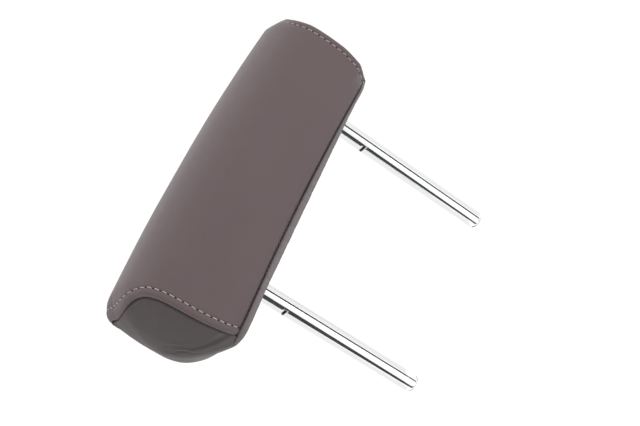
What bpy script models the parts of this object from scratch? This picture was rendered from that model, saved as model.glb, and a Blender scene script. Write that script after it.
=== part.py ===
"""Chair headrest attachment: a leather-covered pad clamped on two chromed steel posts.

Frame: origin midway between the two posts in the plane of their tips, +Z up along the posts,
+X along the pad, -Y out of the pad's front face. Sizes below are millimetres.
"""

import math

import bmesh
import bpy
from mathutils import Vector

MM = 0.001

# Posts
POST_D = 14.0
POST_BORE_D = 8.0
POST_SPACING = 145.0
POST_TOP = 200.0
POST_TIP_ROUND = 3.5
NOTCH_Z = 113.5
NOTCH_HEIGHT = 2.2
NOTCH_DEPTH = 2.4

# Pad: the line of the leather wrap in the YZ plane, from the seam at the foot of the front face,
# up the front, over the top, down the back and under to the rear hem
WRAP_LINE = [
    (-18.8, 142.6),
    (-21.4, 155.0),
    (-23.0, 168.0),
    (-22.9, 180.0),
    (-22.2, 190.0),
    (-20.4, 200.0),
    (-14.8, 209.2),
    (-6.9, 215.6),
    (3.0, 220.6),
    (14.0, 223.0),
    (24.0, 221.6),
    (31.5, 216.0),
    (35.0, 206.0),
    (35.6, 192.0),
    (34.6, 176.0),
    (32.6, 160.0),
    (30.4, 148.0),
    (27.6, 140.2),
    (22.5, 137.2),
    (12.5, 137.0),
]
WALL_END = 17  # the point of WRAP_LINE where the back turns under
PAD_HALF = 125.8  # half length at the posts, measured at the wrap's edges
FLARE = 0.30  # the end seams run outwards this much for each millimetre towards the back
ARCH_DROP = 3.5  # how far the pad's ends sit below its middle
ARCH_AT = 112.0
CROWN = 0.04  # extra depth at the middle, as a share
PAD_MID_Y = 6.0
PAD_MID_Z = 181.0
LEATHER = 1.4
GAP = 0.4
DOME = 19.0  # how far an end panel stands out from its seam groove
GROOVE = 3.0  # depth of the groove between the wrap's edge and an end panel
RIM = 5.0
FOAM_SHORT = 9.6  # the foam stops this far inside the wrap's edge
UNDERSIDE_Z = 137.0

# Underside
WELT_D = 4.8
WELT_Y = -17.6
WELT_Z = 139.2
WELT_HALF = 112.0
PANEL_Z = 140.9
PANEL_Y = (-14.4, 24.5)
STRIP_Y = (13.2, 20.4)
STRIP_T = 0.8
STRIP_HALF = 98.0
FOAM_Z = 142.7

# Armature
PLATE_HALF = 98.0
PLATE_Y = 7.4
PLATE_T = 2.5
PLATE_Z = (160.0, 200.0)
SADDLE_Z = (167.0, 193.0)
SADDLE_T = 2.0
SADDLE_EAR = 21.0
BOLT_OFFSET = 15.0
BOLT_D = 5.0
BOLT_HOLE_D = 5.7
BOLT_HEAD_AF = 8.0
BOLT_HEAD_H = 3.4
WASHER_D = 10.0
WASHER_T = 1.0
NUT_T = 4.0
FIT = 0.3  # clearance between pieces that touch

# Eyelets round the posts, under the bottom panel
EYELET_FLANGE_D = 21.0
EYELET_BARREL_D = 17.0
EYELET_BORE_D = 14.8
EYELET_FLANGE_Z = (138.5, 140.1)
EYELET_TOP = 145.0

STATIONS = 9
SECTION_POINTS = 40
ROUND = 32


def clear_scene():
    for obj in list(bpy.data.objects):
        bpy.data.objects.remove(obj, do_unlink=True)


def make_collection(name):
    collection = bpy.data.collections.new(name)
    bpy.context.scene.collection.children.link(collection)
    return collection


def material(name, colour, roughness, metallic=0.0):
    mat = bpy.data.materials.new(name)
    mat.use_nodes = True
    mat.diffuse_color = (*colour, 1.0)
    shader = mat.node_tree.nodes["Principled BSDF"]
    shader.inputs["Base Color"].default_value = (*colour, 1.0)
    shader.inputs["Roughness"].default_value = roughness
    shader.inputs["Metallic"].default_value = metallic
    return mat


def add_mesh(name, bm, mat, smooth=True):
    """Finishes a bmesh, drawn in millimetres, as an object of the parts collection."""
    bm.normal_update()
    bmesh.ops.recalc_face_normals(bm, faces=bm.faces)
    mesh = bpy.data.meshes.new(name)
    bm.to_mesh(mesh)
    bm.free()
    mesh.transform(((MM, 0, 0, 0), (0, MM, 0, 0), (0, 0, MM, 0), (0, 0, 0, 1)))
    obj = bpy.data.objects.new(name, mesh)
    PARTS.objects.link(obj)
    obj.data.materials.append(mat)
    if smooth:
        mesh.shade_smooth()
        mesh.set_sharp_from_angle(angle=math.radians(40))
    return obj


def as_cutter(obj):
    PARTS.objects.unlink(obj)
    CUTTERS.objects.link(obj)
    obj.hide_render = True
    obj.display_type = "WIRE"
    return obj


def boolean(obj, other, operation):
    modifier = obj.modifiers.new(operation.title(), "BOOLEAN")
    modifier.operation = operation
    modifier.solver = "EXACT"
    modifier.object = other


def cylinder(bm, diameter, z0, z1, segments=ROUND, centre=(0.0, 0.0)):
    made = bmesh.ops.create_cone(
        bm, cap_ends=True, segments=segments, radius1=diameter / 2, radius2=diameter / 2, depth=z1 - z0
    )
    bmesh.ops.translate(bm, verts=made["verts"], vec=(centre[0], centre[1], (z0 + z1) / 2))
    return made["verts"]


def box(bm, x, y, z):
    made = bmesh.ops.create_cube(bm, size=1.0)
    bmesh.ops.scale(bm, verts=made["verts"], vec=(x[1] - x[0], y[1] - y[0], z[1] - z[0]))
    middle = (sum(x) / 2, sum(y) / 2, sum(z) / 2)
    bmesh.ops.translate(bm, verts=made["verts"], vec=middle)
    return made["verts"]


def lay_along_y(bm, verts, x, z):
    """Turns verts drawn along +Z to lie along +Y, then moves them to (x, z)."""
    for vert in verts:
        px, py, pz = vert.co
        vert.co = (px + x, pz, py + z)


def smooth_line(points, spacing_count, closed=False):
    """Points spaced evenly along a Catmull-Rom curve through the given points."""
    count = len(points)
    dense = []
    for i in range(count if closed else count - 1):
        if closed:
            p0, p1, p2, p3 = (points[(i + k) % count] for k in (-1, 0, 1, 2))
        else:
            p0 = points[max(i - 1, 0)]
            p1, p2 = points[i], points[i + 1]
            p3 = points[min(i + 2, count - 1)]
        for step in range(12):
            t = step / 12
            dense.append(
                tuple(
                    0.5
                    * (
                        2 * p1[k]
                        + (p2[k] - p0[k]) * t
                        + (2 * p0[k] - 5 * p1[k] + 4 * p2[k] - p3[k]) * t * t
                        + (3 * p1[k] - p0[k] - 3 * p2[k] + p3[k]) * t**3
                    )
                    for k in (0, 1)
                )
            )
    dense.append(dense[0] if closed else points[-1])
    lengths = [0.0]
    for a, b in zip(dense, dense[1:]):
        lengths.append(lengths[-1] + math.dist(a, b))
    result = []
    j = 0
    steps = spacing_count if closed else spacing_count - 1
    for i in range(spacing_count):
        target = lengths[-1] * i / steps
        while j < len(dense) - 2 and lengths[j + 1] < target:
            j += 1
        share = (target - lengths[j]) / max(lengths[j + 1] - lengths[j], 1e-9)
        result.append(tuple(dense[j][k] + (dense[j + 1][k] - dense[j][k]) * share for k in (0, 1)))
    return result


def offset_in(line, distance, closed=False):
    """The line moved to its right-hand side, which is the pad's inside for WRAP_LINE's direction."""
    moved = []
    count = len(line)
    for i, (y, z) in enumerate(line):
        if closed:
            before, after = line[i - 1], line[(i + 1) % count]
        else:
            before, after = line[max(i - 1, 0)], line[min(i + 1, count - 1)]
        dy, dz = after[0] - before[0], after[1] - before[1]
        length = math.hypot(dy, dz)
        moved.append((y + dz / length * distance, z - dy / length * distance))
    return moved


def end_x(y):
    """Half length of the pad at depth y, measured at the wrap's edge."""
    return PAD_HALF + FLARE * y


def shaped(x, y, z):
    """A point of the straight pad moved onto the crowned, arched pad."""
    share = (x / ARCH_AT) ** 2
    deeper = 1 + CROWN * max(0.0, 1 - share)
    return (x, PAD_MID_Y + (y - PAD_MID_Y) * deeper, z - ARCH_DROP * share)


def loft(bm, section, shorten, closed=True, half=None):
    """A section of (y, z) points carried along X, following the pad's ends, crown and arch."""
    rings = []
    for i in range(STATIONS):
        u = -1 + 2 * i / (STATIONS - 1)
        ring = []
        for y, z in section:
            reach = half if half else end_x(y) - shorten
            ring.append(bm.verts.new(shaped(u * reach, y, z)))
        rings.append(ring)
    count = len(section)
    for a, b in zip(rings, rings[1:]):
        for j in range(count if closed else count - 1):
            k = (j + 1) % count
            bm.faces.new((a[j], a[k], b[k], b[j]))
    if closed:
        bm.faces.new(rings[0])
        bm.faces.new(rings[-1])
        bmesh.ops.triangulate(bm, faces=bm.faces)


def end_surface(bm, side, rings, back_cap):
    """A domed end: rings of (perimeter, share, x) from the rim in to the middle, closed by a point."""
    made = []
    for perimeter, share, lift in rings:
        ring = []
        for y, z in perimeter:
            py = PAD_MID_Y + (y - PAD_MID_Y) * share
            pz = PAD_MID_Z + (z - PAD_MID_Z) * share
            x = end_x(py) + lift
            ring.append(bm.verts.new(shaped_end(side, x, py, pz)))
        made.append(ring)
    count = len(made[0])
    for a, b in zip(made, made[1:]):
        for j in range(count):
            k = (j + 1) % count
            bm.faces.new((a[j], a[k], b[k], b[j]))
    tip = bm.verts.new(shaped_end(side, end_x(PAD_MID_Y) + rings[-1][2], PAD_MID_Y, PAD_MID_Z))
    for j in range(count):
        bm.faces.new((made[-1][j], made[-1][(j + 1) % count], tip))
    if back_cap:
        bmesh.ops.triangulate(bm, faces=[bm.faces.new(made[0])])


def shaped_end(side, x, y, z):
    """Like shaped, with the drop held at its value at the wrap's edge."""
    _, py, pz = shaped(min(x, end_x(y)), y, z)
    return (side * x, py, pz)


def dome_rings(perimeter, front, height, steps=6):
    """Rings whose lift falls away towards the rim like a stuffed end."""
    rings = []
    for i in range(steps):
        share = 1 - i / steps
        rings.append((perimeter, share, front + height * (1 - share**2.6) ** 0.6))
    return rings


def build_cover():
    line = smooth_line(WRAP_LINE, SECTION_POINTS)

    bm = bmesh.new()
    loft(bm, line, 0.0, closed=False)
    wrap = add_mesh("cover_wrap", bm, LEATHER_MAT)
    solidify = wrap.modifiers.new("Leather", "SOLIDIFY")
    solidify.thickness = LEATHER * MM
    solidify.offset = -1.0
    solidify.use_even_offset = True
    if wrap.data.polygons[len(wrap.data.polygons) // 2].normal.z < 0:
        wrap.data.flip_normals()

    for side, name in ((-1, "left"), (1, "right")):
        bm = bmesh.new()
        rings = [(GUSSET_LINE, 1.0, -GROOVE - RIM), (GUSSET_LINE, 1.0, -GROOVE)]
        rings += dome_rings(GUSSET_LINE, -GROOVE, DOME)[1:]
        end_surface(bm, side, rings, back_cap=False)
        gusset = add_mesh("gusset_" + name, bm, GUSSET_MAT)
        if gusset.data.polygons[-1].normal.x * side < 0:
            gusset.data.flip_normals()
        solidify = gusset.modifiers.new("Leather", "SOLIDIFY")
        solidify.thickness = LEATHER * MM
        solidify.offset = -1.0

    bm = bmesh.new()
    z0, z1 = PANEL_Z, PANEL_Z + LEATHER
    y0, y1 = PANEL_Y
    loft(bm, [(y0, z0), (y0, z1), (y1, z1), (y1, z0)], FOAM_SHORT + 1.0)
    panel = add_mesh("bottom_panel", bm, LEATHER_MAT, smooth=False)
    for side in (-1, 1):
        bm = bmesh.new()
        centre = (side * POST_SPACING / 2, 0.0)
        cylinder(bm, EYELET_BARREL_D + 2 * FIT, z0 - 8, z1 + 8, centre=centre)
        boolean(panel, as_cutter(add_mesh("panel_hole_%d" % side, bm, STEEL_MAT)), "DIFFERENCE")

    for name, z, mat in (
        ("hook_strip", UNDERSIDE_Z + LEATHER + FIT + 0.05, FABRIC_MAT),
        ("loop_strip", UNDERSIDE_Z + LEATHER + STRIP_T + 2 * FIT + 0.1, FABRIC_MAT),
    ):
        bm = bmesh.new()
        y0, y1 = STRIP_Y
        loft(bm, [(y0, z), (y0, z + STRIP_T), (y1, z + STRIP_T), (y1, z)], 0.0, half=STRIP_HALF)
        add_mesh(name, bm, mat, smooth=False)

    curve = bpy.data.curves.new("welt_front", "CURVE")
    curve.dimensions = "3D"
    curve.bevel_depth = WELT_D / 2 * MM
    curve.bevel_resolution = 2
    curve.use_fill_caps = True
    spline = curve.splines.new("POLY")
    spline.points.add(2 * STATIONS - 2)
    for i in range(2 * STATIONS - 1):
        x = WELT_HALF * (-1 + i / (STATIONS - 1))
        px, py, pz = shaped(x, WELT_Y, WELT_Z)
        spline.points[i].co = (px * MM, py * MM, pz * MM, 1.0)
    welt = bpy.data.objects.new("welt_front", curve)
    PARTS.objects.link(welt)
    welt.data.materials.append(WELT_MAT)


def build_foam():
    line = smooth_line(WRAP_LINE, SECTION_POINTS)
    inner = offset_in(line, LEATHER + GAP)
    section = [p for p in inner if p[1] > FOAM_Z + 0.5]
    section += [(section[-1][0] - 0.4, FOAM_Z), (section[0][0] + 0.6, FOAM_Z)]

    pockets = []
    for side in (-1, 1):
        x = side * POST_SPACING / 2
        bm = bmesh.new()
        cylinder(bm, POST_D + 2 * FIT, 120.0, POST_TOP + 1, centre=(x, 0.0))
        pockets.append(bm)
        bm = bmesh.new()
        cylinder(bm, EYELET_BARREL_D + 2 * FIT, 120.0, EYELET_TOP + 0.5, centre=(x, 0.0))
        pockets.append(bm)
        bm = bmesh.new()
        reach = SADDLE_EAR + 1.0
        box(bm, (x - reach, x + reach), (-10.2, PLATE_Y), (SADDLE_Z[0] - 0.7, SADDLE_Z[1] + 0.7))
        pockets.append(bm)
        bm = bmesh.new()
        box(bm, (x - reach, x + reach), (PLATE_Y, 17.5), (174.0, 186.0))
        pockets.append(bm)
    bm = bmesh.new()
    reach = PLATE_HALF + 0.6
    box(bm, (-reach, reach), (PLATE_Y - FIT, PLATE_Y + PLATE_T + FIT), (PLATE_Z[0] - 0.6, PLATE_Z[1] + 0.6))
    pockets.append(bm)
    cutters = [
        as_cutter(add_mesh("foam_pocket_%d" % i, bm, FOAM_MAT, smooth=False)) for i, bm in enumerate(pockets)
    ]

    for name, keep in (("foam_front", (-200.0, -0.2)), ("foam_rear", (0.2, 200.0))):
        bm = bmesh.new()
        loft(bm, section, FOAM_SHORT)
        foam = add_mesh(name, bm, FOAM_MAT)
        bm = bmesh.new()
        box(bm, (-200.0, 200.0), keep, (100.0, 260.0))
        half = as_cutter(add_mesh(name + "_side", bm, FOAM_MAT, smooth=False))
        boolean(foam, half, "INTERSECT")
        for cutter in cutters:
            boolean(foam, cutter, "DIFFERENCE")

    pad_line = offset_in(GUSSET_LINE, LEATHER + GAP + 0.4, closed=True)
    for side, name in ((-1, "left"), (1, "right")):
        bm = bmesh.new()
        rings = [(pad_line, 1.0, -FOAM_SHORT + FIT), (pad_line, 1.0, -GROOVE - 2.2)]
        rings += dome_rings(pad_line, -GROOVE - 2.2, DOME)[1:]
        end_surface(bm, side, rings, back_cap=True)
        add_mesh("end_pad_" + name, bm, WADDING_MAT)


def build_post(side, name):
    radius = POST_D / 2
    bore = POST_BORE_D / 2
    profile = [(0.0, 8.0), (bore, 8.0), (bore, POST_TOP), (radius, POST_TOP)]
    for i in range(7):
        angle = math.radians(90 * i / 6)
        x = radius - POST_TIP_ROUND + POST_TIP_ROUND * math.cos(angle)
        profile.append((x, POST_TIP_ROUND - POST_TIP_ROUND * math.sin(angle)))
    profile.append((0.0, 0.0))
    mesh = bpy.data.meshes.new(name)
    verts = [(x * MM, 0.0, z * MM) for x, z in profile]
    mesh.from_pydata(verts, [(i, i + 1) for i in range(len(verts) - 1)], [])
    post = bpy.data.objects.new(name, mesh)
    PARTS.objects.link(post)
    post.data.materials.append(CHROME_MAT)
    post.location = (side * POST_SPACING / 2 * MM, 0.0, 0.0)
    screw = post.modifiers.new("Turn", "SCREW")
    screw.steps = ROUND
    screw.render_steps = ROUND
    screw.use_merge_vertices = True
    screw.merge_threshold = 0.00001
    screw.use_smooth_shade = True

    bm = bmesh.new()
    x = side * POST_SPACING / 2
    box(
        bm,
        (x - radius - 3, x - radius + NOTCH_DEPTH),
        (-radius - 1, radius + 1),
        (NOTCH_Z - NOTCH_HEIGHT / 2, NOTCH_Z + NOTCH_HEIGHT / 2),
    )
    notch = as_cutter(add_mesh(name + "_notch", bm, STEEL_MAT, smooth=False))
    boolean(post, notch, "DIFFERENCE")


def build_armature():
    bm = bmesh.new()
    box(bm, (-PLATE_HALF, PLATE_HALF), (PLATE_Y, PLATE_Y + PLATE_T), PLATE_Z)
    plate = add_mesh("armature_plate", bm, STEEL_MAT, smooth=False)
    holes = []
    for side in (-1, 1):
        for step in (-1, 1):
            holes.append((side * POST_SPACING / 2 + step * BOLT_OFFSET, BOLT_HOLE_D, 20))
    holes += [(-24.0, 16.0, ROUND), (0.0, 16.0, ROUND), (24.0, 16.0, ROUND)]
    middle = sum(PLATE_Z) / 2
    for i, (x, diameter, segments) in enumerate(holes):
        bm = bmesh.new()
        verts = cylinder(bm, diameter, PLATE_Y - 5, PLATE_Y + PLATE_T + 5, segments)
        lay_along_y(bm, verts, x, middle)
        boolean(plate, as_cutter(add_mesh("plate_hole_%d" % i, bm, STEEL_MAT)), "DIFFERENCE")

    inner = POST_D + 2 * FIT
    outer = inner + 2 * SADDLE_T
    ear_back = PLATE_Y - FIT
    for side, name in ((-1, "left"), (1, "right")):
        x = side * POST_SPACING / 2
        z0, z1 = SADDLE_Z

        bm = bmesh.new()
        box(bm, (x - SADDLE_EAR, x + SADDLE_EAR), (ear_back - SADDLE_T, ear_back), SADDLE_Z)
        saddle = add_mesh("saddle_" + name, bm, STEEL_MAT, smooth=False)
        bm = bmesh.new()
        cylinder(bm, outer, z0, z1, centre=(x, 0.0))
        boolean(saddle, as_cutter(add_mesh("saddle_round_" + name, bm, STEEL_MAT)), "UNION")
        bm = bmesh.new()
        box(bm, (x - outer / 2, x + outer / 2), (0.0, ear_back - 0.5), (z0 + 0.01, z1 - 0.01))
        boolean(saddle, as_cutter(add_mesh("saddle_cheek_" + name, bm, STEEL_MAT, smooth=False)), "UNION")
        bm = bmesh.new()
        cylinder(bm, inner, z0 - 5, z1 + 5, centre=(x, 0.0))
        boolean(saddle, as_cutter(add_mesh("saddle_bore_" + name, bm, STEEL_MAT)), "DIFFERENCE")
        bm = bmesh.new()
        box(bm, (x - inner / 2, x + inner / 2), (0.1, 20.0), (z0 - 5, z1 + 5))
        boolean(saddle, as_cutter(add_mesh("saddle_mouth_" + name, bm, STEEL_MAT, smooth=False)), "DIFFERENCE")
        bm = bmesh.new()
        box(bm, (x - 12.0, x + 12.0), (ear_back, 20.0), (z0 - 5, z1 + 5))
        boolean(saddle, as_cutter(add_mesh("saddle_flat_" + name, bm, STEEL_MAT, smooth=False)), "DIFFERENCE")

        for step, end in ((-1, "outer" if side < 0 else "inner"), (1, "inner" if side < 0 else "outer")):
            bx = x + step * BOLT_OFFSET
            bm = bmesh.new()
            lay_along_y(bm, cylinder(bm, BOLT_HOLE_D, -5.0, 12.0, 20), bx, middle)
            hole = as_cutter(add_mesh("ear_hole_%s_%s" % (name, end), bm, STEEL_MAT))
            boolean(saddle, hole, "DIFFERENCE")
            build_fastener("%s_%s" % (name, end), bx, middle, ear_back - SADDLE_T)


def build_fastener(name, x, z, ear_front):
    """A bolt from the front, its washer, and its nut behind the plate."""
    head_back = ear_front - FIT - WASHER_T - FIT
    bm = bmesh.new()
    hex_d = BOLT_HEAD_AF / math.cos(math.radians(30))
    lay_along_y(bm, cylinder(bm, hex_d, head_back - BOLT_HEAD_H, head_back, 6), x, z)
    bolt = add_mesh("bolt_" + name, bm, ZINC_MAT, smooth=False)
    bm = bmesh.new()
    end = PLATE_Y + PLATE_T + NUT_T + 3.0
    lay_along_y(bm, cylinder(bm, BOLT_D, head_back - 1.0, end, 20), x, z)
    boolean(bolt, as_cutter(add_mesh("shank_" + name, bm, ZINC_MAT)), "UNION")

    for part, diameter, segments, y0, y1 in (
        ("washer_", WASHER_D, 24, head_back + FIT, head_back + FIT + WASHER_T),
        ("nut_", hex_d, 6, PLATE_Y + PLATE_T + FIT, PLATE_Y + PLATE_T + FIT + NUT_T),
    ):
        bm = bmesh.new()
        lay_along_y(bm, cylinder(bm, diameter, y0, y1, segments), x, z)
        piece = add_mesh(part + name, bm, ZINC_MAT, smooth=False)
        bm = bmesh.new()
        lay_along_y(bm, cylinder(bm, BOLT_HOLE_D, y0 - 3, y1 + 3, 20), x, z)
        boolean(piece, as_cutter(add_mesh(part + "hole_" + name, bm, ZINC_MAT)), "DIFFERENCE")


def build_eyelet(side, name):
    x = side * POST_SPACING / 2
    drop = ARCH_DROP * (x / ARCH_AT) ** 2
    bm = bmesh.new()
    z0, z1 = EYELET_FLANGE_Z
    cylinder(bm, EYELET_FLANGE_D, z0 - drop, z1 - drop, centre=(x, 0.0))
    eyelet = add_mesh("eyelet_" + name, bm, PLASTIC_MAT)
    bm = bmesh.new()
    cylinder(bm, EYELET_BARREL_D, z0 - drop + 0.5, EYELET_TOP - drop, centre=(x, 0.0))
    boolean(eyelet, as_cutter(add_mesh("barrel_" + name, bm, PLASTIC_MAT)), "UNION")
    bm = bmesh.new()
    cylinder(bm, EYELET_BORE_D, z0 - drop - 5, EYELET_TOP + 5, centre=(x, 0.0))
    boolean(eyelet, as_cutter(add_mesh("eyelet_bore_" + name, bm, PLASTIC_MAT)), "DIFFERENCE")


clear_scene()
PARTS = make_collection("chair_headrest_attachment")
CUTTERS = make_collection("cutters")

LEATHER_MAT = material("leather", (0.135, 0.105, 0.100), 0.55)
GUSSET_MAT = material("gusset_leather", (0.120, 0.100, 0.092), 0.55)
WELT_MAT = material("welt_leather", (0.200, 0.165, 0.160), 0.5)
FABRIC_MAT = material("hook_and_loop", (0.03, 0.03, 0.03), 0.9)
FOAM_MAT = material("foam", (0.75, 0.70, 0.50), 0.95)
WADDING_MAT = material("wadding", (0.80, 0.80, 0.78), 0.95)
CHROME_MAT = material("chrome", (0.80, 0.80, 0.82), 0.06, 1.0)
STEEL_MAT = material("steel", (0.35, 0.35, 0.36), 0.4, 1.0)
ZINC_MAT = material("zinc", (0.62, 0.62, 0.60), 0.35, 1.0)
PLASTIC_MAT = material("black_plastic", (0.02, 0.02, 0.02), 0.5)

wall = offset_in(smooth_line(WRAP_LINE[: WALL_END + 1], 36), LEATHER + GAP)
foot = [(22.0, 139.0), (11.0, 138.8), (-2.0, 138.8), (-11.5, 138.9), (-14.5, 140.4)]
GUSSET_LINE = smooth_line(wall + foot, SECTION_POINTS, closed=True)

build_cover()
build_foam()
for SIDE, NAME in ((-1, "left"), (1, "right")):
    build_post(SIDE, "post_" + NAME)
    build_eyelet(SIDE, NAME)
build_armature()
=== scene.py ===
"""Looks of the chair headrest attachment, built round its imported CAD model.

Frame: metres, origin midway between the posts in the plane of their tips, +Z up along the posts,
+X along the pad, -Y out of the pad's front face. Helper functions work in millimetres.
"""

import math
import random

import bmesh
import bpy
import numpy as np
from mathutils import Matrix, Vector


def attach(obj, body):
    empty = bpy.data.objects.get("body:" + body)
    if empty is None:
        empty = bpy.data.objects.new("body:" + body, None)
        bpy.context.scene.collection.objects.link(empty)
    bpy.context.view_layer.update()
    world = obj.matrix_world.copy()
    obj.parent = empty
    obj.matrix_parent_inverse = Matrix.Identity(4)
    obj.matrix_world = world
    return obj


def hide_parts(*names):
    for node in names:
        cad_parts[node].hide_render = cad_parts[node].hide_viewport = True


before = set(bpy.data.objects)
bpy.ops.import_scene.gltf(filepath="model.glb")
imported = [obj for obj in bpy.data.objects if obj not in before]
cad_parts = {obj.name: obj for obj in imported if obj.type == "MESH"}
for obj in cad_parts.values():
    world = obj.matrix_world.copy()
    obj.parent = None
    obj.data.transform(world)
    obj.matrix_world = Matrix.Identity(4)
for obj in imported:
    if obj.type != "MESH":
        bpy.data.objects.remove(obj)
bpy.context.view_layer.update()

MM = 0.001
SIDES = ((-1, "left"), (1, "right"))

# Section of the leather wrap: depth, height, and half length of the pad there. It runs from the
# turned-in edge at the foot of the front face, up the front, over the top, down the back and under
# to the rear hem.
WRAP_LINE = [
    (-12.6, 145.4, 111.6),
    (-15.2, 144.1, 112.2),
    (-17.4, 143.3, 112.8),
    (-18.9, 144.5, 113.6),
    (-20.1, 149.2, 115.1),
    (-21.4, 155.0, 116.7),
    (-23.0, 168.0, 118.6),
    (-22.9, 180.0, 119.2),
    (-22.2, 190.0, 119.4),
    (-20.4, 200.0, 119.6),
    (-14.8, 209.2, 120.5),
    (-6.9, 215.6, 123.6),
    (3.0, 220.4, 129.0),
    (13.0, 222.6, 132.2),
    (22.0, 223.0, 134.2),
    (29.0, 221.9, 135.2),
    (33.8, 217.6, 135.6),
    (36.4, 209.0, 135.4),
    (37.0, 194.0, 134.6),
    (36.0, 176.0, 132.2),
    (33.8, 160.0, 127.6),
    (31.2, 148.0, 123.2),
    (28.0, 140.2, 120.0),
    (22.5, 137.2, 118.5),
    (16.0, 136.9, 117.8),
    (12.9, 137.1, 117.4),
    (12.2, 137.9, 117.2),
    (13.0, 138.6, 117.4),
]
FRONT_START = 3  # where the front face begins, after the turned-in edge
WALL_END = 22  # where the back turns under
# The rest of an end panel's outline, back along the underside
FOOT_LINE = [
    (22.0, 136.8, 118.3),
    (11.0, 136.4, 117.4),
    (-2.0, 136.2, 115.7),
    (-11.0, 137.2, 114.3),
    (-15.9, 140.9, 113.7),
]
ARCH_DROP = 3.5  # how far the pad's ends sit below its middle
ARCH_AT = 112.0
CROWN = 0.04  # extra depth at the middle, as a share
MID_Y, MID_Z = 6.0, 181.0
LEATHER = 1.2  # thickness of the cover
STITCH_IN = 5.3  # from the wrap's edge to the stitch row
STITCH_PITCH = 5.3
HEM_IN = 4.6  # how far from the hem's edge the marks of the end seams fade out
DOME_Y, DOME_Z, DOME_X = 19.5, 179.0, 140.2  # where an end panel stands furthest out
POST_X = 72.5
POST_RADIUS = 7.0
POST_BORE = 4.0
POST_TOP = 200.0
TIP_ROUND = 3.5
NOTCH_Z, NOTCH_HEIGHT, NOTCH_DEPTH = 113.5, 2.2, 2.4
PIPING_HALF, PIPING_MIDDLE = 114.6, -2.6
TAPE_HALF = 98.0


# ------------------------------ geometry helpers


def catmull(points, spacing, closed=False):
    """Points about `spacing` apart on a Catmull-Rom curve, and the distance along it at each."""
    pts = np.array(points, float)
    count = len(pts)
    dense = []
    for i in range(count if closed else count - 1):
        if closed:
            p0, p1, p2, p3 = (pts[(i + k) % count] for k in (-1, 0, 1, 2))
        else:
            p0, p1, p2, p3 = pts[max(i - 1, 0)], pts[i], pts[i + 1], pts[min(i + 2, count - 1)]
        square = 2 * p0 - 5 * p1 + 4 * p2 - p3
        cube = 3 * p1 - p0 - 3 * p2 + p3
        for t in np.arange(24) / 24:
            dense.append(0.5 * (2 * p1 + (p2 - p0) * t + square * t * t + cube * t**3))
    dense.append(pts[0] if closed else pts[-1])
    dense = np.array(dense)
    along = np.r_[0, np.cumsum(np.linalg.norm(np.diff(dense[:, :2], axis=0), axis=1))]
    number = max(8, int(round(along[-1] / spacing)))
    wanted = np.linspace(0, along[-1], number + 1)
    if closed:
        wanted = wanted[:-1]
    line = np.stack([np.interp(wanted, along, dense[:, k]) for k in range(dense.shape[1])], 1)
    return line, wanted


def normals_2d(line, closed=False):
    """Outward normals of a section in the YZ plane: to the left of its direction."""
    if closed:
        t = np.roll(line, -1, 0)[:, :2] - np.roll(line, 1, 0)[:, :2]
    else:
        t = np.gradient(line[:, :2], axis=0)
    t /= np.linalg.norm(t, axis=1)[:, None]
    return np.stack([-t[:, 1], t[:, 0]], 1)


def ease(value):
    value = np.clip(value, 0, 1)
    return value * value * (3 - 2 * value)


def shaped(x, y, z):
    """Carries a point of the straight pad onto the arched, crowned pad with its pulled-in corners."""
    share = (np.clip(x, -128, 128) / ARCH_AT) ** 2
    deeper = 1 + CROWN * np.maximum(0.0, 1 - share)
    # the lower front corners are pulled back, the one at +X further
    corner = ease((np.abs(x) - 97) / 14) * ease((154 - z) / 13) * ease((-1 - y) / 14)
    back = np.where(x > 0, 4.8, 1.8) * corner
    nudge = 0.45 * ease((np.abs(x) - 60) / 40)
    # the hem's ends are tucked up into the end seams
    at_hem = ease((142.5 - z) / 4) * ease((26 - y) / 6) * ease((y - 7) / 4)
    z = z + 3.0 * ease((np.abs(x) - 104) / 9) * at_hem
    # the foot of the +X end panel is drawn up tighter than the other
    at_foot = ease((146 - z) / 7) * ease((y + 14.5) / 5) * ease((14 - y) / 10)
    z = z + 3.2 * ease((x - 104) / 9) * at_foot
    return x - nudge, MID_Y + (y - MID_Y) * deeper + back, z - ARCH_DROP * share


def smooth_noise(points, size, seed):
    """Smooth noise between about -1 and 1 at each point; size is its grain in millimetres."""
    waves = 14
    generator = np.random.default_rng(seed)
    total = np.zeros(len(points))
    for _ in range(waves):
        direction = generator.normal(size=3)
        direction /= np.linalg.norm(direction)
        phase = generator.uniform(0, 2 * math.pi)
        total += np.sin(points @ direction * (2 * math.pi / size) * generator.uniform(0.7, 1.4) + phase)
    return total / waves**0.5 / 1.4


def new_object(name, verts, faces, mat, smooth=True):
    mesh = bpy.data.meshes.new(name)
    mesh.from_pydata([(v[0] * MM, v[1] * MM, v[2] * MM) for v in verts], [], faces)
    mesh.validate()
    obj = bpy.data.objects.new(name, mesh)
    bpy.context.scene.collection.objects.link(obj)
    mesh.materials.append(mat)
    if smooth:
        mesh.shade_smooth()
    return obj


def grid_faces(rows, cols, wrap_cols=False, start=0, flip=False):
    faces = []
    for i in range(rows - 1):
        for j in range(cols if wrap_cols else cols - 1):
            k = (j + 1) % cols
            a, b, c, d = i * cols + j, i * cols + k, (i + 1) * cols + k, (i + 1) * cols + j
            face = (a + start, b + start, c + start, d + start)
            faces.append(face[::-1] if flip else face)
    return faces


def end_caps(rows, cols, start=0):
    """The two faces that close the ends of a tube of grid_faces."""
    first = tuple(start + k for k in reversed(range(cols)))
    return [first, tuple(start + (rows - 1) * cols + k for k in range(cols))]


def outward(obj):
    """Points the faces of a closed mesh outwards."""
    bm = bmesh.new()
    bm.from_mesh(obj.data)
    bm.normal_update()
    bmesh.ops.recalc_face_normals(bm, faces=bm.faces)
    bm.to_mesh(obj.data)
    bm.free()


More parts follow.
